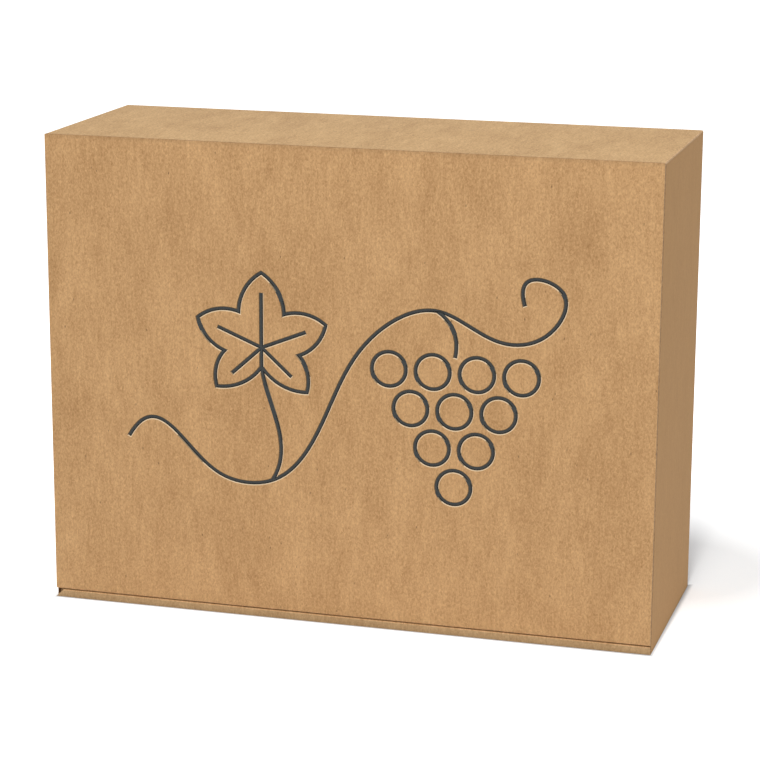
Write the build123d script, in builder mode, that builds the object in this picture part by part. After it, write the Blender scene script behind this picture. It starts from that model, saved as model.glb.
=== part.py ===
from build123d import *
from math import asin, cos, degrees, dist, radians, sin
import os

# Bottle shipping box of corrugated board, for three bottles that lie one above another.
# The box stands on its bottom wall, as a parcel does. X is its width, Y its depth, Z its height.
# The lid is the front face. It hangs from a crease along the top front edge and looks towards -Y.
# The origin is on the ground, in the middle of the box.

# Outer size
box_width = 380.0
box_depth = 137.0
box_height = 295.0

# Corrugated board and its folds
board = 2.5
leaf_gap = 0.2
fold_radius = 1.0
crease_radius = 0.5
cut_overrun = 1.0

# Lid and its tuck flap
lid_side_inset = 0.2
lid_lower_gap = 0.6
lid_seat_gap = 0.3
hinge_round = 0.4
hinge_gap = 0.2
tuck_depth = 38.0
tuck_side_clearance = 2.0
tuck_corner_radius = 14.0

# Rolled bottom wall
mitre_left = 4.8
mitre_right = 0.5
back_tab_width = 52.0
back_tab_spacing = 190.0
foot_tab_width = 44.0
tab_clearance = 0.3

# Bays for bottles, which lie with their bases towards -X
bottle_count = 3
bay_web = 13.6
mouth_pinch = 10.0
neck_hole = 35.0
neck_mouth = 28.0
end_room = 18.0
base_support = 42.0
shoulder_support = 185.0
neck_support = 45.0

# Cross boards and long dividers
insert_fit = 0.3
insert_front_gap = 0.6
slot_clearance = 0.4
slot_end_clearance = 0.2
mouth_flare = 6.0
relief_clearance = 4.0
insert_corner_radius = 4.0

# Debossed line drawing of a vine on the lid.
# Shares of places are of the box's width and height, and shares of the leaf are angle and radius.
line_width = 3.0
line_depth = 0.4
grape_diameter = 21.0
grape_spacing = 27.0
grape_rows = 4
bunch_shares = (0.18, 0.59)
leaf_radius = 46.0
leaf_shares = (-0.137, 0.58)
leaf_outline_shares = (
    (-90, 0.26),
    (-42, 0.84),
    (-8, 0.52),
    (22, 0.95),
    (56, 0.56),
    (90, 1.0),
    (124, 0.56),
    (158, 0.95),
    (188, 0.52),
    (222, 0.84),
    (270, 0.26),
)
leaf_bulge_share = 0.13
vein_shares = ((-90, 0.26), (-42, 0.56), (22, 0.66), (90, 0.74), (158, 0.66), (222, 0.56))
vine_shares = (
    (-0.365, 0.37),
    (-0.315, 0.415),
    (-0.26, 0.36),
    (-0.2, 0.3),
    (-0.12, 0.3),
    (-0.04, 0.42),
    (0.04, 0.61),
    (0.15, 0.68),
    (0.25, 0.625),
    (0.33, 0.65),
    (0.35, 0.73),
    (0.3, 0.755),
    (0.29, 0.7),
)
leaf_stem_shares = ((-0.12, 0.3), (-0.105, 0.38), (-0.12, 0.46), (-0.137, 0.54))
bunch_stem_shares = ((0.15, 0.68), (0.176, 0.645), (0.18, 0.585))

# Places that follow from the sizes
half_width = box_width / 2
front_y = -box_depth / 2
back_y = box_depth / 2
strip_height = 2 * board + leaf_gap
wall_front_y = front_y + board + lid_seat_gap
wall_back_y = back_y - fold_radius
side_wall_x = half_width - board - leaf_gap
side_wall_inner_x = side_wall_x - board
wall_foot_z = board + leaf_gap
side_wall_top_z = box_height - board - leaf_gap
floor_half_x = side_wall_inner_x - leaf_gap
floor_back_y = back_y - board - leaf_gap

lid_foot_z = strip_height + lid_lower_gap
lid_half_width = half_width - lid_side_inset
hinge_y = front_y + hinge_round
hinge_z = box_height - hinge_round
nose_y = hinge_y + hinge_round + hinge_gap
nose_foot_z = box_height - (wall_front_y - nose_y)
tuck_half_width = floor_half_x - tuck_side_clearance
# The flap leans so that its tip swings no lower than its own fold
tuck_lean = degrees(asin((tuck_depth + fold_radius) / (2 * (hinge_z - lid_foot_z))))
tuck_rise = tuck_depth * sin(radians(tuck_lean))

insert_front_y = front_y + board + insert_front_gap
insert_back_y = back_y - board - insert_fit
insert_middle_y = (insert_front_y + insert_back_y) / 2
insert_foot_z = strip_height + insert_fit
insert_top_z = box_height - board - insert_fit
insert_depth = insert_back_y - insert_front_y
insert_height = insert_top_z - insert_foot_z
insert_half_length = side_wall_inner_x - insert_fit
bay_pitch = insert_height / bottle_count
bay_centres = [insert_foot_z + bay_pitch * (bay + 0.5) for bay in range(bottle_count)]
divider_heights = [insert_foot_z + bay_pitch * (bay + 1) for bay in range(bottle_count - 1)]
slot_width = board + slot_clearance
body_hole = bay_pitch - bay_web
body_mouth = body_hole - mouth_pinch
relief_depth = tuck_depth + relief_clearance
relief_height = lid_lower_gap + tuck_rise + board + relief_clearance

base_end_x = end_room - insert_half_length
neck_end_x = insert_half_length - end_room
base_cradle_x = base_end_x + base_support
shoulder_cradle_x = base_end_x + shoulder_support
neck_cradle_x = neck_end_x - neck_support
crossing_places = [base_end_x, base_cradle_x, shoulder_cradle_x, neck_cradle_x, neck_end_x]

os.makedirs("parts", exist_ok=True)


def polar(centre, radius, angle):
    """Return the point at a radius and an angle in degrees from a centre."""
    return (centre[0] + radius * cos(radians(angle)), centre[1] + radius * sin(radians(angle)))


def lid_place(shares):
    """Return the place on the lid for a share of the box's width and a share of its height."""
    return (shares[0] * box_width, shares[1] * box_height)


# Carton tray, one folded sheet.
# The back panel carries the rolled bottom wall, the inner side walls and the top wall.
# The outer side panels turn down from the ends of the top wall and are glued to the inner walls.
# They reach the ground past the ends of the bottom wall.
with BuildPart() as carton_tray:
    # Top wall, back panel and outer bottom panel, seen from the side
    with BuildSketch(Plane.YZ):
        with BuildLine():
            Polyline(
                (wall_front_y, box_height),
                (back_y, box_height),
                (back_y, 0),
                (front_y + board, 0),
                (front_y + board, board),
                (back_y - board, board),
                (back_y - board, box_height - board),
                (wall_front_y, box_height - board),
                close=True,
            )
        make_face()
        fillet(vertices().group_by(Axis.X)[-2], radius=crease_radius)
        fillet(vertices().group_by(Axis.X)[-1], radius=fold_radius)
    extrude(amount=side_wall_inner_x - fold_radius, both=True)

    # Top wall with the outer side panels turned down from its ends, seen from the front
    with BuildSketch(Plane.XZ.offset(-wall_back_y)):
        with BuildLine():
            Polyline(
                (-half_width, 0),
                (-half_width, box_height),
                (half_width, box_height),
                (half_width, 0),
                (half_width - board, 0),
                (half_width - board, box_height - board),
                (board - half_width, box_height - board),
                (board - half_width, 0),
                close=True,
            )
        make_face()
        fillet(vertices().group_by(Axis.Y)[-2], radius=crease_radius)
        fillet(vertices().group_by(Axis.Y)[-1], radius=fold_radius)
    extrude(amount=wall_back_y - nose_y)

    # Nose of the top wall, slanted back below the crease so that the lid turns clear of it
    with BuildSketch(Plane.YZ):
        with BuildLine():
            Polyline(
                (wall_front_y, -cut_overrun),
                (wall_front_y, nose_foot_z),
                (nose_y - cut_overrun, box_height + cut_overrun),
                (nose_y - cut_overrun, -cut_overrun),
                close=True,
            )
        make_face()
    extrude(amount=half_width + cut_overrun, both=True, mode=Mode.SUBTRACT)

    # Back panel with the inner side walls turned forward from its ends, seen from above
    with BuildSketch(Plane.XY.offset(wall_foot_z)):
        with BuildLine():
            Polyline(
                (-side_wall_x, wall_front_y),
                (-side_wall_x, back_y),
                (side_wall_x, back_y),
                (side_wall_x, wall_front_y),
                (side_wall_inner_x, wall_front_y),
                (side_wall_inner_x, back_y - board),
                (-side_wall_inner_x, back_y - board),
                (-side_wall_inner_x, wall_front_y),
                close=True,
            )
        make_face()
        fillet(vertices().group_by(Axis.Y)[-2], radius=crease_radius)
        fillet(vertices().group_by(Axis.Y)[-1], radius=fold_radius)
    extrude(amount=side_wall_top_z - wall_foot_z)

    # Outer bottom panel, between the outer side panels
    with BuildSketch(Plane.XY):
        with Locations((0, wall_back_y)):
            Rectangle(2 * side_wall_x, wall_back_y - front_y - board, align=(Align.CENTER, Align.MAX))
    extrude(amount=board)

    # Rolled front edge, whose outer face shows as a strip below the lid
    with BuildSketch(Plane.YZ):
        with Locations((front_y, 0)):
            Rectangle(board, strip_height, align=Align.MIN)
        fillet(vertices().group_by(Axis.X)[0], radius=fold_radius)
    extrude(amount=half_width, both=True)

    # Inner bottom panel, rolled back from the front edge over the outer one
    with BuildSketch(Plane.XY.offset(wall_foot_z)):
        with Locations((0, front_y + board)):
            Rectangle(2 * floor_half_x, floor_back_y - front_y - board, align=(Align.CENTER, Align.MIN))
    extrude(amount=board)

    # Mitred ends of the rolled edge
    for side, mitre in ((-1, mitre_left), (1, mitre_right)):
        with BuildSketch(Plane.XZ.offset(-front_y - board)):
            with BuildLine():
                Polyline(
                    (side * (half_width + cut_overrun), strip_height - mitre - cut_overrun),
                    (side * (half_width + cut_overrun), strip_height + cut_overrun),
                    (side * (half_width - mitre - cut_overrun), strip_height + cut_overrun),
                    close=True,
                )
            make_face()
        extrude(amount=board + cut_overrun, mode=Mode.SUBTRACT)

    # Slots in the back panel, and the tabs of the inner bottom panel that lock in them
    tab_places = [(-back_tab_spacing / 2, board), (back_tab_spacing / 2, board)]
    with BuildSketch(Plane.XZ.offset(-back_y - cut_overrun)):
        with Locations(tab_places):
            Rectangle(
                back_tab_width + 2 * tab_clearance,
                strip_height - board + tab_clearance,
                align=(Align.CENTER, Align.MIN),
            )
    extrude(amount=cut_overrun + board + leaf_gap, mode=Mode.SUBTRACT)
    with BuildSketch(Plane.XY.offset(wall_foot_z)):
        with Locations(*[(place[0], floor_back_y) for place in tab_places]):
            Rectangle(back_tab_width, back_y - floor_back_y, align=(Align.CENTER, Align.MIN))
        fillet(vertices().group_by(Axis.Y)[-1], radius=fold_radius)
    extrude(amount=board)

    # Notches in the ends of the outer bottom panel, and the foot tabs of the inner side walls in them
    foot_tab_x = (side_wall_x + side_wall_inner_x) / 2
    foot_tab_places = [(-foot_tab_x, 0), (foot_tab_x, 0)]
    with BuildSketch(Plane.XY):
        with Locations(foot_tab_places):
            Rectangle(slot_width, foot_tab_width + 2 * tab_clearance)
    extrude(amount=board, mode=Mode.SUBTRACT)
    with BuildSketch(Plane.XY):
        with Locations(foot_tab_places):
            Rectangle(board, foot_tab_width)
    extrude(amount=wall_foot_z)

carton_tray.part.label = "carton_tray"
export_step(carton_tray.part, "parts/carton_tray.step")


# Lid, with the tuck flap folded back from its lower edge.
# Its upper edge is rounded about the crease and slanted behind it, so that it turns clear of the top wall.
with BuildPart() as lid:
    crease = (hinge_y, hinge_z)
    slant_start = polar(crease, hinge_round, 45)
    slant_end = (front_y + board, slant_start[1] - (front_y + board - slant_start[0]))
    with BuildSketch(Plane.YZ):
        with BuildLine():
            Line((front_y, lid_foot_z), (front_y, hinge_z))
            ThreePointArc((front_y, hinge_z), (hinge_y, box_height), slant_start)
            Polyline(slant_start, slant_end, (front_y + board, lid_foot_z), (front_y, lid_foot_z))
        make_face()
        fillet(vertices().group_by(Axis.Y)[0].sort_by(Axis.X)[0], radius=fold_radius)
    extrude(amount=lid_half_width, both=True)

    # Tuck flap with rounded tips
    tuck_plane = Plane(
        origin=(0, front_y + fold_radius, lid_foot_z),
        x_dir=(1, 0, 0),
        z_dir=(0, -sin(radians(tuck_lean)), cos(radians(tuck_lean))),
    )
    with BuildSketch(tuck_plane):
        Rectangle(2 * tuck_half_width, tuck_depth - fold_radius, align=(Align.CENTER, Align.MIN))
        fillet(vertices().group_by(Axis.Y)[-1], radius=tuck_corner_radius)
    extrude(amount=board)

    # One pressed line that draws a vine with a leaf and a bunch of grapes
    with BuildSketch(Plane.XZ.offset(-front_y)):
        row_height = grape_spacing * sin(radians(60))
        bunch_x, bunch_z = lid_place(bunch_shares)
        for reach, mode in ((line_width, Mode.ADD), (-line_width, Mode.SUBTRACT)):
            for row in range(grape_rows):
                with Locations((bunch_x, bunch_z - grape_diameter / 2 - row * row_height)):
                    with GridLocations(grape_spacing, grape_spacing, grape_rows - row, 1):
                        Circle((grape_diameter + reach) / 2, mode=mode)
        leaf_centre = lid_place(leaf_shares)
        outline = [polar(leaf_centre, share * leaf_radius, angle) for angle, share in leaf_outline_shares]
        with BuildLine():
            for start, end in zip(outline, outline[1:]):
                SagittaArc(start, end, -leaf_bulge_share * dist(start, end))
        trace(line_width=line_width)
        for angle, share in vein_shares:
            with BuildLine():
                Line(leaf_centre, polar(leaf_centre, share * leaf_radius, angle))
            trace(line_width=line_width)
        for stretch in (vine_shares, leaf_stem_shares, bunch_stem_shares):
            with BuildLine():
                Spline(*[lid_place(shares) for shares in stretch])
            trace(line_width=line_width)
    extrude(amount=-line_depth, mode=Mode.SUBTRACT)

lid.part.label = "lid"
export_step(lid.part, "parts/lid.step")


def cross_board(place_x, relief_top, hole=0, mouth=0):
    """Build a board that stands across the bottles, with a cradle for each where a hole is given."""
    with BuildPart() as standing_board:
        with BuildSketch(Plane.YZ.offset(place_x - board / 2)):
            with Locations((insert_front_y, insert_foot_z)):
                Rectangle(insert_depth, insert_height, align=Align.MIN)
            fillet(vertices(), radius=insert_corner_radius)
            # Room for the tuck flap at the lower front corner
            with Locations((insert_front_y, insert_foot_z)):
                Rectangle(2 * relief_depth, 2 * relief_top, mode=Mode.SUBTRACT)
            # Half slots that let the board down over the long dividers
            for divider_z in divider_heights:
                with Locations((insert_back_y + cut_overrun, divider_z)):
                    Rectangle(
                        insert_back_y + cut_overrun - insert_middle_y + slot_end_clearance,
                        slot_width,
                        align=(Align.MAX, Align.CENTER),
                        mode=Mode.SUBTRACT,
                    )
            # Cradles that hold the glass on more than half its round, open to the lid
            if hole:
                for centre_z in bay_centres:
                    with Locations((insert_middle_y, centre_z)):
                        Circle(hole / 2, mode=Mode.SUBTRACT)
                    with BuildLine():
                        Polyline(
                            (insert_front_y - cut_overrun, centre_z - mouth / 2 - mouth_flare),
                            (insert_front_y + mouth_flare, centre_z - mouth / 2),
                            (insert_middle_y, centre_z - mouth / 2),
                            (insert_middle_y, centre_z + mouth / 2),
                            (insert_front_y + mouth_flare, centre_z + mouth / 2),
                            (insert_front_y - cut_overrun, centre_z + mouth / 2 + mouth_flare),
                            close=True,
                        )
                    make_face(mode=Mode.SUBTRACT)
        extrude(amount=board)
    return standing_board


# Boards across the bottles: a plain one at each end, and cradles under the base, shoulder and neck.
# The wide cradles have no arm below the lowest bottle, where the tuck flap lies.
cross_boards = {
    "base_end_board": cross_board(base_end_x, relief_height),
    "base_cradle": cross_board(base_cradle_x, bay_pitch / 2, body_hole, body_mouth),
    "shoulder_cradle": cross_board(shoulder_cradle_x, bay_pitch / 2, body_hole, body_mouth),
    "neck_cradle": cross_board(neck_cradle_x, relief_height, neck_hole, neck_mouth),
    "neck_end_board": cross_board(neck_end_x, relief_height),
}
for name, standing_board in cross_boards.items():
    standing_board.part.label = name
    export_step(standing_board.part, f"parts/{name}.step")


# Long dividers between the bottles, slotted from the front for the cross boards
for number, divider_z in enumerate(divider_heights, start=1):
    with BuildPart() as divider:
        with BuildSketch(Plane.XY.offset(divider_z - board / 2)):
            with Locations((0, insert_front_y)):
                Rectangle(2 * insert_half_length, insert_depth, align=(Align.CENTER, Align.MIN))
            fillet(vertices(), radius=insert_corner_radius)
            for crossing_x in crossing_places:
                with Locations((crossing_x, insert_front_y - cut_overrun)):
                    Rectangle(
                        slot_width,
                        insert_middle_y + slot_end_clearance - insert_front_y + cut_overrun,
                        align=(Align.CENTER, Align.MIN),
                        mode=Mode.SUBTRACT,
                    )
        extrude(amount=board)
    divider.part.label = f"divider_{number}"
    export_step(divider.part, f"parts/divider_{number}.step")
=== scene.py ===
import logging
import math
from collections.abc import Callable
from dataclasses import dataclass
from enum import Enum

import bpy
from mathutils import Matrix, Vector


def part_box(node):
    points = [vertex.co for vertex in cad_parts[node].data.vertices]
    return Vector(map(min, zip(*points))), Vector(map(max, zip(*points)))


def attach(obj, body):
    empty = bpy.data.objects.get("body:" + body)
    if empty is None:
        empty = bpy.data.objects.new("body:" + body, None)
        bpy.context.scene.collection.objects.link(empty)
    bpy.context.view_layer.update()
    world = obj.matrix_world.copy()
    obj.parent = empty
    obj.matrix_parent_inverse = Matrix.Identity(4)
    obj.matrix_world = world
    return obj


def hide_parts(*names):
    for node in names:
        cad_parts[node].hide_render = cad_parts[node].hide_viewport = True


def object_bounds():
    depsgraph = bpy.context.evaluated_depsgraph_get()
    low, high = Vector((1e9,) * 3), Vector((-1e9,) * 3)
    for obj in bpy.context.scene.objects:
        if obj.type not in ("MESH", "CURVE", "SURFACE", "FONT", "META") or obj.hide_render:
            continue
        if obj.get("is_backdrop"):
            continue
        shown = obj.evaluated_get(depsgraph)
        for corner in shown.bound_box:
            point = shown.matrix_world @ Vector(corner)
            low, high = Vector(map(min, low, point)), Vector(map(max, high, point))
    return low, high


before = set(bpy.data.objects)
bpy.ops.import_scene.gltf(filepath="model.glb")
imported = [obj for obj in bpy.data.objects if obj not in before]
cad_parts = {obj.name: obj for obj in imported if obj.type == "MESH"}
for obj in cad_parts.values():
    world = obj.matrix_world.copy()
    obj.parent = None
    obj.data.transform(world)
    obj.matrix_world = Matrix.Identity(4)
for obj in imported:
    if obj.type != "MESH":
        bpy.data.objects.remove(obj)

log = logging.getLogger("bottle_box")

Tree = bpy.types.NodeTree
Socket = bpy.types.NodeSocket

MM = 0.001
# A point this close to a face or an edge is on it, in metres
NEAR = 0.06 * MM
# A face whose centre is this close to a surface of the board lies on it, in millimetres
ON_SURFACE = 0.05
# The share of a normal along an axis above which its face looks that way
LOOKS_ALONG = 0.9
# How much less than 1 that share may be for a face that is flat on
FLAT_SLACK = 0.001
# How far a cut goes past the board's edge, in millimetres
OVERRUN = 1.0
# Vertices this close are merged, in metres, and faces this near to one plane are joined, in degrees
MERGE_REACH = 0.002 * MM
FLAT_ANGLE = 0.2
# Faces that meet at less than this angle are shaded as one round, in degrees
ROUND_ANGLE = 35.0
# A noise lies about its middle, and its distance from there is scaled up to use the whole range
NOISE_MIDDLE = 0.5
NOISE_SPREAD = 2.0
# The sRGB curve, straight for the darkest tones and a power above them
FULL_BYTE = 255
DARK_TOP = 0.04045
DARK_SLOPE = 12.92
CURVE_SHIFT = 0.055
CURVE_POWER = 2.4
INSERT_NODES = (
    "base_end_board",
    "base_cradle",
    "shoulder_cradle",
    "neck_cradle",
    "neck_end_board",
    "divider_1",
    "divider_2",
)


class Run(Enum):
    """The direction in which the flutes of a board run."""

    ALONG_X = Vector((1, 0, 0))
    ALONG_Y = Vector((0, 1, 0))
    ALONG_Z = Vector((0, 0, 1))


class Side(Enum):
    """The side of a shape that a face may look to."""

    RIGHT = Vector((1, 0, 0))
    FRONT = Vector((0, -1, 0))
    TOP = Vector((0, 0, 1))


# Small helpers


def linear(code: str) -> tuple[float, float, float, float]:
    """Turn an sRGB hex colour into a linear one.

    Args:
        code: six hex digits after a hash mark.

    Returns:
        Red, green, blue and full alpha, in linear light.
    """
    red, green, blue = (
        share / DARK_SLOPE
        if share <= DARK_TOP
        else ((share + CURVE_SHIFT) / (1 + CURVE_SHIFT)) ** CURVE_POWER
        for share in (byte / FULL_BYTE for byte in bytes.fromhex(code[1:]))
    )
    return red, green, blue, 1.0


def fill(tree: Tree, node: bpy.types.Node, inputs: dict) -> None:
    """Give inputs of a node their values, or links to other nodes' outputs."""
    for place, value in inputs.items():
        if isinstance(value, Socket):
            tree.links.new(value, node.inputs[place])
        else:
            node.inputs[place].default_value = value


def add_node(tree: Tree, kind: str, inputs: dict | None = None, **settings: object) -> bpy.types.Node:
    """Add a node to a tree with its settings, values and links.

    Args:
        tree: the node tree.
        kind: the node's type.
        inputs: what goes into each input, a value or another node's output.
        settings: the node's own settings by name.

    Returns:
        The new node.
    """
    made = tree.nodes.new(kind)
    for name, value in settings.items():
        setattr(made, name, value)
    fill(tree, made, inputs or {})
    return made


def compute(tree: Tree, operation: str, *values: float | Socket) -> Socket:
    """Add a maths node to a tree.

    Args:
        tree: the node tree.
        operation: what the node does.
        values: numbers or other nodes' outputs, in the node's order.

    Returns:
        The node's result.
    """
    return add_node(tree, "ShaderNodeMath", dict(enumerate(values)), operation=operation).outputs[0]


def ramp(
    tree: Tree,
    value: Socket,
    reach: tuple[float, float] = (0.0, 1.0),
    level: tuple[float, float] = (0.0, 1.0),
    **settings: object,
) -> Socket:
    """Add a node that maps a range of values to another and holds it at its ends.

    Args:
        tree: the node tree.
        value: what is mapped.
        reach: the values at which the ramp starts and ends.
        level: what it gives at its start and at its end.
        settings: the node's own settings by name.

    Returns:
        The mapped value.
    """
    ends = {"From Min": reach[0], "From Max": reach[1], "To Min": level[0], "To Max": level[1]}
    return add_node(tree, "ShaderNodeMapRange", {"Value": value, **ends}, **settings).outputs[0]


def blend(tree: Tree, share: Socket, low: str, high: str, clamped: bool = True) -> Socket:
    """Mix two tones.

    Args:
        tree: the node tree.
        share: how much of the second tone there is.
        low: the first tone, an sRGB hex colour.
        high: the second tone, an sRGB hex colour.
        clamped: whether the share is held between 0 and 1.

    Returns:
        The mixed colour.
    """
    mix = add_node(tree, "ShaderNodeMix", {0: share}, data_type="RGBA", clamp_factor=clamped)
    # The colour sockets share their names with the node's other sockets
    low_socket, high_socket = (socket for socket in mix.inputs if socket.type == "RGBA")
    low_socket.default_value = linear(low)
    high_socket.default_value = linear(high)
    return mix.outputs[2]


def new_material(name: str) -> tuple[bpy.types.Material, bpy.types.Node, Socket]:
    """Make a material, and return it with its shader and the object coordinates."""
    made = bpy.data.materials.new(name)
    made.use_nodes = True
    place = add_node(made.node_tree, "ShaderNodeTexCoord").outputs["Object"]
    return made, made.node_tree.nodes["Principled BSDF"], place


def deselect() -> None:
    """Deselect every object, because an operator acts on all that is selected."""
    bpy.ops.object.select_all(action="DESELECT")


def take(piece: bpy.types.Object) -> None:
    """Make one object the only selected and the active one."""
    deselect()
    piece.select_set(True)
    bpy.context.view_layer.objects.active = piece


def pick_faces(piece: bpy.types.Object, wanted: Callable[[bpy.types.MeshPolygon], bool]) -> None:
    """Select the faces of a mesh that pass a test, and nothing else, in object mode."""
    for part in (*piece.data.edges, *piece.data.vertices):
        part.select = False
    for face in piece.data.polygons:
        face.select = wanted(face)


def pick_vertices(piece: bpy.types.Object, wanted: Callable[[bpy.types.MeshVertex], bool]) -> None:
    """Select the vertices of a mesh that pass a test, and nothing else, in object mode."""
    for part in (*piece.data.polygons, *piece.data.edges):
        part.select = False
    for vertex in piece.data.vertices:
        vertex.select = wanted(vertex)


def looks_to(face: bpy.types.MeshPolygon, side: Side) -> bool:
    """Say whether a face looks straight to a side."""
    return face.normal.dot(side.value) > 1 - FLAT_SLACK


def face_outwards() -> None:
    """Turn the normals of the active mesh outwards, and leave it in object mode."""
    bpy.ops.object.mode_set(mode="EDIT")
    bpy.ops.mesh.select_all(action="SELECT")
    bpy.ops.mesh.normals_make_consistent(inside=False)
    bpy.ops.object.mode_set(mode="OBJECT")


# Finishes


@dataclass(frozen=True)
class Noise:
    """A noise that lies over a sheet.

    Attributes:
        size: millimetres across and along the fibres.
        detail: how many octaves it has.
        roughness: the weight of its finer octaves.
        curl: how far its shapes are drawn out of true.
    """

    size: tuple[float, float]
    detail: float
    roughness: float
    curl: float


@dataclass(frozen=True)
class KraftBoard:
    """Unbleached kraft linerboard, machine made and left matt.

    Long softwood fibres settle in clouds and lie mostly in the machine's direction, across the
    flutes, so the sheet shows soft mottling, a fine short grain and now and then a dark shive.
    """

    name: str
    tone: str
    deep_tone: str
    # How strongly each pattern shows
    clouds: float = 0.55
    streaks: float = 0.3
    grain: float = 1.0
    shives: float = 0.55
    # How strongly the flutes beneath show as waves, first along Y and then along Z
    washboard: tuple[float, float] = (1.0, 1.0)
    across: Run = Run.ALONG_X
    # Loose fibres on the surface catch light that grazes it
    fuzz: float = 0.08

    roughness = 0.84
    refraction = 1.5
    gloss = 0.4
    fuzz_roughness = 0.5
    # A painted shade darkens the board a little just below the score that its top edge folds on
    score_height = 294.8
    score_width = 2.4
    bruise = 0.13
    cloud_noise = Noise((21.0, 46.0), detail=4.0, roughness=0.62, curl=0.4)
    streak_noise = Noise((2.6, 17.0), detail=2.0, roughness=0.5, curl=0.0)
    # Real fibres are 0.03 mm wide, too fine to show, so tufts of them are drawn
    grain_noise = Noise((1.05, 1.8), detail=1.0, roughness=0.6, curl=0.8)
    # Each shive lies in a cell of this size, in millimetres
    shive_size = (7.0, 17.0)
    # How far from the cell's middle a shive starts to fade and is gone, as shares of the cell
    shive_reach = (0.03, 0.06)
    flute_pitch = 6.5
    # How far the grain and the flutes beneath lift the sheet, in millimetres
    grain_lift = 0.03
    flute_lift = 0.006

    def material(self) -> bpy.types.Material:
        """Build the kraft material."""
        made, shader, place = new_material(self.name)
        tree = made.node_tree
        clouds = self.pattern(tree, place, self.cloud_noise)
        streaks = self.pattern(tree, place, self.streak_noise)
        grain = self.pattern(tree, place, self.grain_noise)
        share = NOISE_MIDDLE
        for found, weight in ((clouds, self.clouds), (streaks, self.streaks), (grain, self.grain)):
            centred = compute(tree, "SUBTRACT", found, NOISE_MIDDLE)
            share = compute(tree, "MULTIPLY_ADD", centred, NOISE_SPREAD * weight, share)
        colour = blend(tree, share, self.deep_tone, self.tone, clamped=False)
        # Shives darken the tone, and painted shade darkens it just below the score
        dark = compute(tree, "MULTIPLY", self.shive_shade(tree, place), self.score_shade(tree, place))
        shaded = add_node(tree, "ShaderNodeVectorMath", {0: colour, "Scale": dark}, operation="SCALE")
        lift = self.lift(tree, place, grain)
        bump = add_node(tree, "ShaderNodeBump", {"Height": lift, "Distance": 1.0, "Strength": 1.0})
        looks = {
            "Base Color": shaded.outputs[0],
            "Normal": bump.outputs["Normal"],
            "Roughness": self.roughness,
            "IOR": self.refraction,
            "Specular IOR Level": self.gloss,
            "Sheen Weight": self.fuzz,
            "Sheen Roughness": self.fuzz_roughness,
        }
        fill(tree, shader, looks)
        return made

    def laid(self, tree: Tree, place: Socket, size: tuple[float, float]) -> Socket:
        """Scale the object coordinates so that one unit is a pattern's size across and along the fibres."""
        across, along = (1 / (share * MM) for share in size)
        scale = [across if step else along for step in self.across.value]
        return add_node(tree, "ShaderNodeMapping", {"Vector": place, "Scale": scale}).outputs[0]

    def pattern(self, tree: Tree, place: Socket, noise: Noise) -> Socket:
        """Lay a noise over the sheet, fine across the fibres and longer along them."""
        inputs = {
            "Vector": self.laid(tree, place, noise.size),
            "Scale": 1.0,
            "Detail": noise.detail,
            "Roughness": noise.roughness,
            "Distortion": noise.curl,
        }
        return add_node(tree, "ShaderNodeTexNoise", inputs).outputs[0]

    def shive_shade(self, tree: Tree, place: Socket) -> Socket:
        """Darken a few short shives, which are splinters of wood that were not pulped."""
        laid = self.laid(tree, place, self.shive_size)
        cells = add_node(tree, "ShaderNodeTexVoronoi", {"Vector": laid, "Scale": 1.0})
        return ramp(tree, cells.outputs["Distance"], self.shive_reach, (1.0 - self.shives, 1.0))

    def score_shade(self, tree: Tree, place: Socket) -> Socket:
        """Darken the upright sheet towards the score, down from its top edge: painted shade under the crease.
        """
        height = add_node(tree, "ShaderNodeSeparateXYZ", {0: place}).outputs["Z"]
        top = self.score_height * MM
        bruise = ramp(tree, height, ((self.score_height - self.score_width) * MM, top), (0.0, -self.bruise))
        upright = compute(tree, "LESS_THAN", height, top)
        return compute(tree, "MULTIPLY_ADD", bruise, upright, 1.0)

    def lift(self, tree: Tree, place: Socket, grain: Socket) -> Socket:
        """Add up the height of the grain and of the flutes that show through the liner."""
        parts = add_node(tree, "ShaderNodeSeparateXYZ", {0: place})
        height = compute(tree, "MULTIPLY", grain, self.grain_lift * MM)
        for direction, weight in zip("YZ", self.washboard):
            turn = compute(tree, "MULTIPLY", parts.outputs[direction], 2 * math.pi / (self.flute_pitch * MM))
            wave = compute(tree, "SINE", turn)
            height = compute(tree, "MULTIPLY_ADD", wave, self.flute_lift * weight * MM, height)
        return height


@dataclass(frozen=True)
class PressedInk:
    """Water based flexo ink on kraft, printed dark and pressed into the board, with next to no gloss."""

    name: str
    tone: str
    worn_tone: str

    grain_size = 0.7
    grain_detail = 3.0
    # The noise at which wear begins to show, and at which it is full
    wear_reach = (0.45, 0.8)
    roughness = 0.65
    gloss = 0.2

    def material(self) -> bpy.types.Material:
        """Build the ink material."""
        made, shader, place = new_material(self.name)
        tree = made.node_tree
        grain = {"Vector": place, "Scale": 1 / (self.grain_size * MM), "Detail": self.grain_detail}
        noise = add_node(tree, "ShaderNodeTexNoise", grain)
        colour = blend(tree, ramp(tree, noise.outputs[0], self.wear_reach), self.tone, self.worn_tone)
        looks = {"Base Color": colour, "Roughness": self.roughness, "Specular IOR Level": self.gloss}
        fill(tree, shader, looks)
        return made


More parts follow.
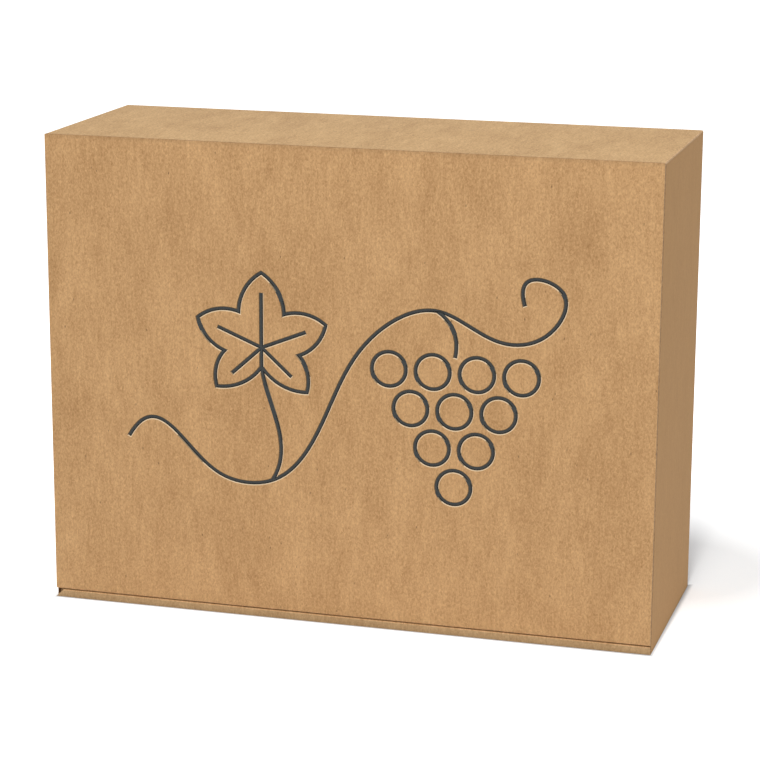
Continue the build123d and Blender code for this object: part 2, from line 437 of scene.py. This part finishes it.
@dataclass(frozen=True)
class Finishes:
    """The finishes of the box, each a material that the pieces share."""

    face: bpy.types.Material
    top: bpy.types.Material
    flank: bpy.types.Material
    fold: bpy.types.Material
    roll: bpy.types.Material
    inside: bpy.types.Material
    edge: bpy.types.Material
    medium: bpy.types.Material
    insert: bpy.types.Material
    rim: bpy.types.Material
    faded_rim: bpy.types.Material
    thin_ink: bpy.types.Material
    ink: bpy.types.Material
    pooled_ink: bpy.types.Material

    @classmethod
    def made(cls) -> "Finishes":
        """Build every finish of the box once."""
        smooth = {"clouds": 0.16, "streaks": 0.2, "grain": 0.42, "shives": 0.2, "fuzz": 0.03}
        cut = {"clouds": 0.3, "grain": 1.2, "washboard": (0.0, 0.0)}
        flank = {"washboard": (1.0, 0.0), "across": Run.ALONG_Y, **smooth}
        return cls(
            face=KraftBoard("kraft_liner_face", "#d6ab79", "#ac8254", grain=0.8).material(),
            # The top is the face's tone made a little paler and more yellow: painted light from above on the
            # same liner
            top=KraftBoard("kraft_liner_top", "#d5af7c", "#ac8556", grain=1.0).material(),
            flank=KraftBoard("kraft_liner_flank", "#cfa067", "#b78952", **flank).material(),
            # Fold faces are paler: partly wear of the fibres, partly a painted highlight along the rounded
            # fold
            fold=KraftBoard("kraft_liner_fold", "#dcb486", "#b9905f", clouds=0.2).material(),
            roll=KraftBoard("kraft_liner_roll", "#c7a67b", "#a07d55", grain=0.7).material(),
            inside=KraftBoard("kraft_liner_inside", "#c9a57b", "#a5814f", shives=0.4).material(),
            edge=KraftBoard("kraft_raw_edge", "#c8a072", "#9c774c", **cut).material(),
            medium=KraftBoard("fluting_medium", "#b7935f", "#94714a", **cut).material(),
            insert=KraftBoard("testliner_insert", "#c8a27a", "#a17c52", shives=0.45).material(),
            # The slate ink is the line's print. The pale rim, the paler ink, the brown ink and the near-black
            # ink are painted highlight and painted shade, given to faces by the way they look
            rim=KraftBoard("kraft_pressed_rim", "#ecd5b4", "#dbbf98", **smooth).material(),
            faded_rim=PressedInk("faded_flexo_ink", "#8c7b62", "#a38f70").material(),
            thin_ink=PressedInk("thin_flexo_ink", "#5c4d3a", "#6f5b41").material(),
            ink=PressedInk("slate_flexo_ink", "#393e40", "#4e4d48").material(),
            pooled_ink=PressedInk("pooled_flexo_ink", "#1b1c1d", "#2c2b2a").material(),
        )


# Corrugated board


@dataclass(frozen=True)
class Flutes:
    """The row of flutes inside a corrugated board, which shows wherever the board is cut across them."""

    board: float = 2.5
    liner: float = 0.3
    medium: float = 0.24
    pitch: float = 6.5
    crest: float = 1.1
    tip: float = 1.0
    tip_round: float = 0.75
    corner_round: float = 0.35

    tip_segments = 3
    corner_segments = 2
    # How far the hollows above and below the medium are shifted, as a share of the pitch
    shift_share = 0.25

    @property
    def reach(self) -> float:
        """How far from the board's middle its inner faces lie, in millimetres."""
        return self.board / 2 - self.liner

    def channel(self, length: float, material: bpy.types.Material) -> bpy.types.Object:
        """Model one hollow between the medium and a liner, lying along Z with its flat side up in Y.

        Args:
            length: how long the hollow is, in millimetres.
            material: the finish of its walls.

        Returns:
            The hollow as a closed solid.
        """
        height = 2 * self.reach - self.medium
        width = self.pitch - self.crest
        middle = (0, (self.reach - height / 2) * MM, -length / 2 * MM)
        deselect()
        bpy.ops.mesh.primitive_plane_add(size=1, location=middle)
        hollow = bpy.context.object
        hollow.scale = (width * MM, height * MM, 1)
        bpy.ops.object.transform_apply(location=True, rotation=True, scale=True)
        flat = self.reach * MM - NEAR
        pick_vertices(hollow, lambda vertex: vertex.co.y < flat)
        bpy.ops.object.mode_set(mode="EDIT")
        bpy.ops.transform.resize(value=(self.tip / width, 1, 1))
        bpy.ops.mesh.bevel(offset=self.tip_round * MM, segments=self.tip_segments, affect="VERTICES")
        bpy.ops.object.mode_set(mode="OBJECT")
        pick_vertices(hollow, lambda vertex: vertex.co.y > flat)
        bpy.ops.object.mode_set(mode="EDIT")
        bpy.ops.mesh.bevel(offset=self.corner_round * MM, segments=self.corner_segments, affect="VERTICES")
        bpy.ops.mesh.select_all(action="SELECT")
        bpy.ops.mesh.extrude_region_move(TRANSFORM_OT_translate={"value": (0, 0, length * MM)})
        face_outwards()
        hollow.data.materials.append(material)
        return hollow

    def comb(
        self,
        middle: Vector,
        run: Run,
        through: Vector,
        span: float,
        length: float,
        material: bpy.types.Material,
    ) -> bpy.types.Object:
        """Model all hollows of a stretch of board, ready to be cut out of it.

        Args:
            middle: the middle of the stretch, in millimetres.
            run: the direction of the flutes.
            through: the direction through the board's thickness.
            span: how far the row of flutes goes, in millimetres.
            length: how long the flutes are, in millimetres.
            material: the finish of their walls.

        Returns:
            One object with every hollow.
        """
        count = max(1, int(span / self.pitch))
        rows = []
        for mirrored in (False, True):
            hollow = self.channel(length, material)
            if mirrored:
                hollow.scale = (1, -1, 1)
                bpy.ops.object.transform_apply(location=False, rotation=False, scale=True)
                face_outwards()
            shift = (self.shift_share if mirrored else -self.shift_share) * self.pitch
            hollow.location = ((shift - (count - 1) * self.pitch / 2) * MM, 0, 0)
            bpy.ops.object.transform_apply(location=True, rotation=False, scale=False)
            row = hollow.modifiers.new("row", "ARRAY")
            row.count = count
            row.use_relative_offset = False
            row.use_constant_offset = True
            row.constant_offset_displace = (self.pitch * MM, 0, 0)
            bpy.ops.object.modifier_apply(modifier=row.name)
            rows.append(hollow)
        take(rows[0])
        rows[1].select_set(True)
        bpy.ops.object.join()
        comb = bpy.context.object
        turn = Matrix((through.cross(run.value), through, run.value)).transposed().to_4x4()
        comb.matrix_world = Matrix.Translation(middle * MM) @ turn
        bpy.ops.object.transform_apply(location=True, rotation=True, scale=True)
        return comb


def cad_copy(node: str, name: str) -> bpy.types.Object:
    """Copy a CAD node's mesh, with its loose triangles merged and its flat faces made whole.

    Args:
        node: the node's name.
        name: the new piece's name.

    Returns:
        The new piece.
    """
    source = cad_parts[node]
    piece = bpy.data.objects.new(name, source.data.copy())
    bpy.context.scene.collection.objects.link(piece)
    take(piece)
    piece.data.materials.clear()
    for attribute in [found for found in piece.data.attributes if found.name == "custom_normal"]:
        piece.data.attributes.remove(attribute)
    bpy.ops.object.mode_set(mode="EDIT")
    bpy.ops.mesh.select_all(action="SELECT")
    bpy.ops.mesh.remove_doubles(threshold=MERGE_REACH)
    bpy.ops.mesh.customdata_custom_splitnormals_clear()
    bpy.ops.mesh.dissolve_limited(angle_limit=math.radians(FLAT_ANGLE))
    bpy.ops.object.mode_set(mode="OBJECT")
    return piece


def cut(piece: bpy.types.Object, tool: bpy.types.Object) -> None:
    """Cut one solid out of another, whose new walls keep the tool's finish."""
    take(piece)
    opening = piece.modifiers.new("opening", "BOOLEAN")
    opening.operation = "DIFFERENCE"
    opening.solver = "MANIFOLD"
    opening.material_mode = "TRANSFER"
    opening.object = tool
    bpy.ops.object.modifier_apply(modifier=opening.name)
    bpy.data.objects.remove(tool)


@dataclass
class BoardPiece:
    """A piece of board that stands for a CAD node, with its flutes opened and its faces dressed."""

    node: str
    name: str
    body: str
    slot: str
    finishes: Finishes
    flutes: Flutes

    def build(self) -> bpy.types.Object:
        """Model the piece, dress it and hang it on its body."""
        low, high = (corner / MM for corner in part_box(self.node))
        piece = cad_copy(self.node, self.name)
        piece.data.materials.append(self.plain_finish())
        self.open_flutes(piece, low, high)
        self.dress(piece, low, high)
        take(piece)
        bpy.ops.object.shade_smooth_by_angle(angle=math.radians(ROUND_ANGLE))
        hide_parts(self.node)
        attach(piece, self.body)
        log.info("%s: %d faces", self.name, len(piece.data.polygons))
        return piece

    def plain_finish(self) -> bpy.types.Material:
        """Return the finish of the faces that dress() leaves alone."""
        return self.finishes.inside

    def open_flutes(self, piece: bpy.types.Object, low: Vector, high: Vector) -> None:
        """Cut the hollows of the flutes into the piece.

        Args:
            piece: the piece.
            low: the lowest corner of its box, in millimetres.
            high: the highest corner of its box, in millimetres.
        """

    def kind_of(self, centre: Vector, normal: Vector, low: Vector, high: Vector) -> str | None:
        """Name the finish of a face, or None for the plain one.

        Args:
            centre: the face's centre, in millimetres.
            normal: the face's normal.
            low: the lowest corner of the piece's box, in millimetres.
            high: the highest corner of the piece's box, in millimetres.

        Returns:
            A field of Finishes.
        """

    def dress(self, piece: bpy.types.Object, low: Vector, high: Vector) -> None:
        """Give each face that isn't a wall of a flute its finish."""
        medium = piece.data.materials.find(self.finishes.medium.name)
        for face in piece.data.polygons:
            if face.material_index == medium:
                continue
            kind = self.kind_of(face.center / MM, face.normal, low, high)
            if kind:
                face.material_index = self.place_of(piece, getattr(self.finishes, kind))

    @staticmethod
    def place_of(piece: bpy.types.Object, material: bpy.types.Material) -> int:
        """Return the place of a material among a piece's own, adding it if it isn't there."""
        place = piece.data.materials.find(material.name)
        if place < 0:
            piece.data.materials.append(material)
            place = len(piece.data.materials) - 1
        return place


@dataclass
class Lid(BoardPiece):
    """The front face, with its tuck flap and the pressed and printed line drawing.

    Sizes are in millimetres unless their names end in share.
    """

    side_depth: float = 4.0
    tuck_depth: float = 38.0
    fold_radius: float = 1.0
    hinge_round: float = 0.4
    line_depth: float = 0.4
    line_slope: float = 0.5
    line_brink: float = 0.06
    line_hollow: float = 0.08
    hollow_slope: float = 0.7
    # The die crushes the flutes along the side edges to part of their height
    crushed: Flutes = Flutes(liner=0.92, medium=0.3)
    # How far the row of flutes in the flap goes, and how far it goes past the flap's tip, by their pitch
    flap_span_share: float = 5.75
    flap_past_share: float = 0.4
    # A face deeper than this belongs to the line
    line_start: float = 0.01
    # A face of the line that is this far above its floor belongs to its walls
    wall_slack: float = 0.02
    # How far from the side edge a face still belongs to that edge
    edge_width: float = 1.0
    # A face's finish depends on how far it looks up, to which this share of its look to the left is added
    left_share: float = 0.5
    # How far that is where the finish changes, between painted highlight, plain ink and painted shade
    rim_share: float = 0.4
    faded_share: float = 0.1
    thin_share: float = -0.2
    pool_share: float = 0.2
    # Keeps the share of a face that looks straight ahead from being a division by zero
    least_tilt_share: float = 0.001

    def open_flutes(self, piece: bpy.types.Object, low: Vector, high: Vector) -> None:
        """Press the line, and open the flutes at the two side edges and all through the tuck flap."""
        self.press_line(piece, low)
        board, pitch, medium = self.flutes.board, self.flutes.pitch, self.finishes.medium
        height = high.z - low.z - pitch
        middle_z = (low.z + high.z) / 2
        for sign in (-1, 1):
            end = Vector((sign * (high.x + OVERRUN - self.side_depth / 2), low.y + board / 2, middle_z))
            cut(piece, self.crushed.comb(end, Run.ALONG_X, Side.FRONT.value, height, self.side_depth, medium))

        reach = high.z - self.hinge_round - low.z
        lean = math.asin((self.tuck_depth + self.fold_radius) / (2 * reach))
        along = Vector((0, math.cos(lean), math.sin(lean)))
        through = Vector((0, -math.sin(lean), math.cos(lean)))
        root = Vector((0, low.y + self.fold_radius, low.z)) + through * board / 2
        span = self.flap_span_share * pitch
        flap = root + along * (self.tuck_depth - self.fold_radius + self.flap_past_share * pitch - span / 2)
        cut(piece, self.flutes.comb(flap, Run.ALONG_X, through, span, 2 * high.x, medium))

    def press_line(self, piece: bpy.types.Object, low: Vector) -> None:
        """Slope the walls of the pressed line and hollow its floor, as a die leaves them.

        Args:
            piece: the lid.
            low: the lowest corner of its box, in millimetres.
        """
        floor_y = (low.y + self.line_depth) * MM
        floor = self.inset_floor(piece, floor_y, self.line_slope)
        walls = {vertex.index for vertex in piece.data.vertices if abs(vertex.co.y - floor_y) < NEAR} - floor
        self.push(piece, walls, self.line_brink - self.line_depth)
        self.push(piece, self.inset_floor(piece, floor_y, self.hollow_slope), self.line_hollow)

    @staticmethod
    def inset_floor(piece: bpy.types.Object, floor_y: float, width: float) -> set[int]:
        """Inset the floor of the line, and return the vertices of what is left of it.

        Args:
            piece: the lid.
            floor_y: the floor's depth, in metres.
            width: how wide the rim around the floor becomes, in millimetres.

        Returns:
            The indices of the floor's vertices.
        """
        take(piece)
        pick_faces(piece, lambda face: looks_to(face, Side.FRONT) and abs(face.center.y - floor_y) < NEAR)
        bpy.ops.object.mode_set(mode="EDIT")
        bpy.ops.mesh.select_mode(type="FACE")
        bpy.ops.mesh.inset(thickness=width * MM, depth=0, use_boundary=True, use_even_offset=True)
        bpy.ops.object.mode_set(mode="OBJECT")
        return {index for face in piece.data.polygons if face.select for index in face.vertices}

    @staticmethod
    def push(piece: bpy.types.Object, chosen: set[int], depth: float) -> None:
        """Push some vertices of the lid further in, by a depth in millimetres."""
        pick_vertices(piece, lambda vertex: vertex.index in chosen)
        bpy.ops.object.mode_set(mode="EDIT")
        bpy.ops.mesh.select_mode(type="VERT")
        bpy.ops.transform.translate(value=(0, depth * MM, 0))
        bpy.ops.object.mode_set(mode="OBJECT")

    def kind_of(self, centre: Vector, normal: Vector, low: Vector, high: Vector) -> str | None:
        """Tell the printed face, the pressed line, the folds and the raw edges from the inside."""
        front, back = low.y, low.y + self.flutes.board
        above_fold = centre.z > low.z + 2 * self.fold_radius
        below_crease = centre.z < high.z - self.flutes.board
        depth = centre.y - front
        line_end = self.line_depth + self.line_hollow + ON_SURFACE
        if above_fold and below_crease and self.line_start < depth < line_end:
            if abs(centre.x) > high.x - self.edge_width:
                return "edge"
            return self.ink_of(depth, normal)
        if abs(normal.x) > LOOKS_ALONG:
            return "edge"
        if depth < ON_SURFACE:
            return "face"
        if centre.z > high.z - self.hinge_round or (centre.y < back and not above_fold):
            return "fold"
        if centre.y > back and abs(normal.z) < LOOKS_ALONG:
            return "edge"
        return None

    def ink_of(self, depth: float, normal: Vector) -> str:
        """Name the finish of a face of the line.

        The slate print is the same all over. By the way a face looks, walls that look up or to the left get a
        painted highlight, pale kraft or paler ink. Walls that look down or to the right get painted shade in
        dark brown. The floor's slopes that look up get painted shade in near black.

        Args:
            depth: how deep the face's centre lies, in millimetres.
            normal: the face's normal.

        Returns:
            A field of Finishes.
        """
        tilt = normal.z - self.left_share * normal.x
        share = tilt / math.hypot(normal.x, normal.z, self.least_tilt_share)
        if depth < self.line_depth - self.wall_slack:
            if share > self.faded_share:
                return "rim" if share > self.rim_share else "faded_rim"
            return "thin_ink" if share < self.thin_share else "ink"
        return "pooled_ink" if share > self.pool_share else "ink"


@dataclass
class Tray(BoardPiece):
    """The folded tray, whose outer side panels, rolled front edge and inner walls show their cut edges.

    Sizes and places are in millimetres unless their names end in share.
    """

    side_wall_x: float = 187.3
    wall_front_y: float = -65.7
    wall_back_y: float = 67.5
    wall_foot_z: float = 2.7
    strip_height: float = 5.2
    fold_radius: float = 1.0
    strip_flute_length: float = 24.0
    # By how much of their pitch the flutes' rows are longer than the side panels and shorter than the walls
    panel_past_share: float = 0.9
    wall_short_share: float = 0.4
    # A face is slanted if no share of its normal is larger, and mitred if it also looks this far sideways
    slant_share: float = 0.99
    mitre_share: float = 0.3

    def open_flutes(self, piece: bpy.types.Object, low: Vector, high: Vector) -> None:
        """Open the flutes of the side panels, the inner walls and the ends of the rolled edge."""
        board, pitch, medium = self.flutes.board, self.flutes.pitch, self.finishes.medium
        panel_depth = self.wall_back_y - self.wall_front_y + self.panel_past_share * pitch
        panel_middle_y = (self.wall_back_y + self.wall_front_y) / 2
        panel_height = high.z - 2 * board
        wall_depth = self.wall_back_y - self.wall_front_y - 2 * board
        wall_middle_y = self.wall_front_y - OVERRUN + wall_depth / 2
        wall_middle_z = (high.z + self.wall_foot_z - board) / 2
        wall_height = high.z - board - self.wall_foot_z - self.wall_short_share * pitch
        for sign in (-1, 1):
            panel = Vector((sign * (high.x - board / 2), panel_middle_y, panel_height / 2 - OVERRUN))
            wall = Vector((sign * (self.side_wall_x - board / 2), wall_middle_y, wall_middle_z))
            strip = Vector((sign * high.x, low.y + board / 2, self.strip_height / 2))
            for middle, run, through, span, length in (
                (panel, Run.ALONG_Z, Side.RIGHT, panel_depth, panel_height),
                (wall, Run.ALONG_Y, Side.RIGHT, wall_height, wall_depth),
                (strip, Run.ALONG_X, Side.FRONT, pitch, self.strip_flute_length),
            ):
                cut(piece, self.flutes.comb(middle, run, through.value, span, length, medium))

    def kind_of(self, centre: Vector, normal: Vector, low: Vector, high: Vector) -> str | None:
        """Tell the outer liner, its folds and the cut edges from the inside."""
        board = self.flutes.board
        reach = abs(centre.x)
        side_gap, front_gap, top_gap = high.x - reach, centre.y - low.y, high.z - centre.z
        gaps = (side_gap, front_gap, high.y - centre.y, top_gap, centre.z - low.z)
        slanted = max(abs(share) for share in normal) < self.slant_share
        in_strip = centre.y < low.y + board + ON_SURFACE
        if in_strip and slanted and abs(normal.x) > self.mitre_share:
            return "edge"
        # A fold lies close to two faces of the box at once
        if slanted and sorted(gaps)[1] < self.fold_radius:
            return "fold"
        if normal.y < -LOOKS_ALONG and abs(centre.y - self.wall_front_y) < ON_SURFACE:
            return "edge"
        at_back = normal.y > LOOKS_ALONG and abs(centre.y - self.wall_back_y) < ON_SURFACE
        if at_back and reach > self.side_wall_x - board:
            return "edge"
        if reach > self.side_wall_x and centre.z < ON_SURFACE:
            return "edge"
        if side_gap < ON_SURFACE:
            return "edge" if in_strip else "flank"
        if front_gap < ON_SURFACE:
            return "roll"
        if top_gap < ON_SURFACE:
            return "top"
        if min(gaps) < ON_SURFACE:
            return "face"
        return "fold" if in_strip else None


@dataclass
class Insert(BoardPiece):
    """A cross board or a long divider, with flutes that run from its back to its front edge."""

    # By how much of their pitch the row of flutes is shorter than the board
    short_share: float = 0.3

    def plain_finish(self) -> bpy.types.Material:
        """Return the liner of the inserts."""
        return self.finishes.insert

    def open_flutes(self, piece: bpy.types.Object, low: Vector, high: Vector) -> None:
        """Open the flutes from the back edge to the front edge."""
        size = high - low
        lying = size.z < size.x
        through = Side.TOP.value if lying else Side.RIGHT.value
        span = (size.x if lying else size.z) - self.short_share * self.flutes.pitch
        length = size.y + 2 * OVERRUN
        middle = (low + high) / 2
        cut(piece, self.flutes.comb(middle, Run.ALONG_Y, through, span, length, self.finishes.medium))

    def kind_of(self, centre: Vector, normal: Vector, low: Vector, high: Vector) -> str | None:
        """Tell the cut edges from the liners."""
        size = high - low
        through = normal.z if size.z < size.x else normal.x
        return None if abs(through) > LOOKS_ALONG else "edge"


# The stage


@dataclass(frozen=True)
class Lamp:
    """A large soft lamp.

    Attributes:
        name: its name.
        place: where it hangs, in metres.
        aim: the point that it faces, in metres.
        size: its width and its height, in metres.
        power: its power, in watts.
        tone: its colour.
    """

    name: str
    place: tuple[float, float, float]
    aim: tuple[float, float, float]
    size: tuple[float, float]
    power: float
    tone: str

    def hang(self) -> None:
        """Hang the lamp and turn it to its aim."""
        light = bpy.data.lights.new(self.name, "AREA")
        light.shape = "RECTANGLE"
        light.size, light.size_y = self.size
        light.energy = self.power
        light.color = linear(self.tone)[:3]
        lamp = bpy.data.objects.new(self.name, light)
        bpy.context.scene.collection.objects.link(lamp)
        lamp.location = self.place
        lamp.rotation_euler = (Vector(self.aim) - Vector(self.place)).to_track_quat("-Z", "Y").to_euler()


@dataclass(frozen=True)
class Studio:
    """A pale floor and backdrop, soft lamps and the camera at the photograph's angle.

    Attributes:
        foot: half the width and half the depth of what stands on the floor, in metres.
    """

    foot: tuple[float, float]

    # Camera fitted to the box's corners, in millimetres and degrees
    eye = (428.1, -1487.5, 521.3)
    yaw = 15.956
    pitch = 13.882
    roll = 0.254
    focal_pixels = 2548.0
    frame_pixels = 760.0
    sensor_width = 36.0

    floor_reach = 14.0
    floor_tone = "#f6f6f6"
    # The camera sees the floor paler than it is, least so at the shadow behind the box. That shadow is partly
    # cast by the lamps and partly painted darker. Place and reach are in metres.
    veil_place = (0.17, 0.1, 0.0)
    veil_reach = (0.06, 0.2)
    veil_level = (0.08, 0.9)
    # The painted contact shadow along the box's foot: how far it reaches, in metres, and how much of the
    # floor's tone and veil it keeps
    seam_reach = 0.0038
    seam_level = 0.45
    sky_tone = "#ffffff"
    sky_level = 0.27
    lamps = (
        Lamp("key", (0.25, -2.6, 2.6), aim=(0.0, 0.0, 0.12), size=(0.5, 2.0), power=45.2, tone="#fffaf2"),
        Lamp("top", (0.3, -0.8, 3.0), aim=(0.3, -0.8, 0.0), size=(0.3, 1.7), power=47.5, tone="#f8fbff"),
    )

    def build(self) -> None:
        """Set up the floor, the world, the lamps and the camera."""
        self.floor()
        self.world()
        for lamp in self.lamps:
            lamp.hang()
        self.camera()
        bpy.context.scene.view_settings.view_transform = "Standard"

    @staticmethod
    def seen(tree: Tree) -> Socket:
        """Tell the rays that look at the background, straight or reflected, from those that light the box."""
        path = add_node(tree, "ShaderNodeLightPath")
        found = path.outputs["Is Camera Ray"]
        for kind in ("Is Glossy Ray", "Is Transmission Ray"):
            found = compute(tree, "MAXIMUM", found, path.outputs[kind])
        return found

    def floor(self) -> None:
        """Lay a pale floor that keeps the object's shadow, with a painted contact shadow along the box's foot
        and a veil that is thinnest at the shadow behind the box.
        """
        deselect()
        bpy.ops.mesh.primitive_plane_add(size=2 * self.floor_reach, location=(0, 0, 0))
        floor = bpy.context.object
        floor.name = "studio_floor"
        made = bpy.data.materials.new("matt_backdrop_paper")
        made.use_nodes = True
        tree = made.node_tree
        tree.nodes.clear()
        place = add_node(tree, "ShaderNodeTexCoord").outputs["Object"]
        seam = self.seam(tree, place)
        paper = {0: linear(self.floor_tone)[:3], "Scale": seam}
        tone = add_node(tree, "ShaderNodeVectorMath", paper, operation="SCALE")
        plain = add_node(tree, "ShaderNodeBsdfDiffuse", {"Color": tone.outputs[0]})
        away = add_node(tree, "ShaderNodeVectorMath", {0: place, 1: self.veil_place}, operation="DISTANCE")
        level = ramp(tree, away.outputs["Value"], self.veil_reach, self.veil_level)
        veil = compute(tree, "MULTIPLY", self.seen(tree), compute(tree, "MULTIPLY", seam, level))
        glow = add_node(tree, "ShaderNodeEmission", {"Strength": veil})
        total = add_node(tree, "ShaderNodeAddShader", {0: plain.outputs[0], 1: glow.outputs[0]})
        add_node(tree, "ShaderNodeOutputMaterial", {"Surface": total.outputs[0]})
        floor.data.materials.append(made)
        floor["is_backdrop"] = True

    def seam(self, tree: Tree, place: Socket) -> Socket:
        """Paint a contact shadow on the floor close to the box's foot, as if its rounded lower edges kept the
        light out.
        """
        parts = add_node(tree, "ShaderNodeSeparateXYZ", {0: place})
        past = []
        for direction, half in zip("XY", self.foot):
            size = compute(tree, "ABSOLUTE", parts.outputs[direction])
            past.append(compute(tree, "SUBTRACT", size, half))
        off = compute(tree, "MAXIMUM", *past)
        return ramp(
            tree, off, (0.0, self.seam_reach), (self.seam_level, 1.0), interpolation_type="SMOOTHSTEP"
        )

    def world(self) -> None:
        """Make the world a soft even light that the camera sees as white."""
        world = bpy.data.worlds.new("soft_studio")
        bpy.context.scene.world = world
        world.use_nodes = True
        tree = world.node_tree
        tree.nodes.clear()
        strength = ramp(tree, self.seen(tree), level=(self.sky_level, 1.0))
        sky = add_node(tree, "ShaderNodeBackground", {"Color": linear(self.sky_tone), "Strength": strength})
        add_node(tree, "ShaderNodeOutputWorld", {"Surface": sky.outputs[0]})

    def camera(self) -> None:
        """Stand the camera where the photograph was taken from."""
        yaw, pitch, roll = (math.radians(angle) for angle in (self.yaw, self.pitch, self.roll))
        level = math.cos(pitch)
        forward = Vector((-math.sin(yaw) * level, math.cos(yaw) * level, -math.sin(pitch)))
        right = Vector((math.cos(yaw), math.sin(yaw), 0))
        upward = right.cross(forward)
        rolled_right = right * math.cos(roll) + upward * math.sin(roll)
        rolled_up = upward * math.cos(roll) - right * math.sin(roll)
        turn = Matrix((rolled_right, rolled_up, -forward)).transposed().to_4x4()
        data = bpy.data.cameras.new("photo_camera")
        data.sensor_width = self.sensor_width
        data.lens = self.focal_pixels * self.sensor_width / self.frame_pixels
        camera = bpy.data.objects.new("photo_camera", data)
        bpy.context.scene.collection.objects.link(camera)
        camera.matrix_world = Matrix.Translation(Vector(self.eye) * MM) @ turn
        bpy.context.scene.camera = camera


def main() -> None:
    """Build the box around its frame, and its studio."""
    logging.basicConfig(level=logging.INFO, format="%(message)s")
    cad_low, cad_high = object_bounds()
    finishes = Finishes.made()
    flutes = Flutes()

    Tray("carton_tray", "tray_board", "carton", "kraft_board", finishes, flutes).build()
    Lid("lid", "lid_board", "lid", "kraft_board", finishes, flutes).build()
    for node in INSERT_NODES:
        Insert(node, f"{node}_fluted", "carton", "insert_board", finishes, flutes).build()
    Studio(foot=tuple(cad_high)[:2]).build()


if __name__ == "__main__":
    main()
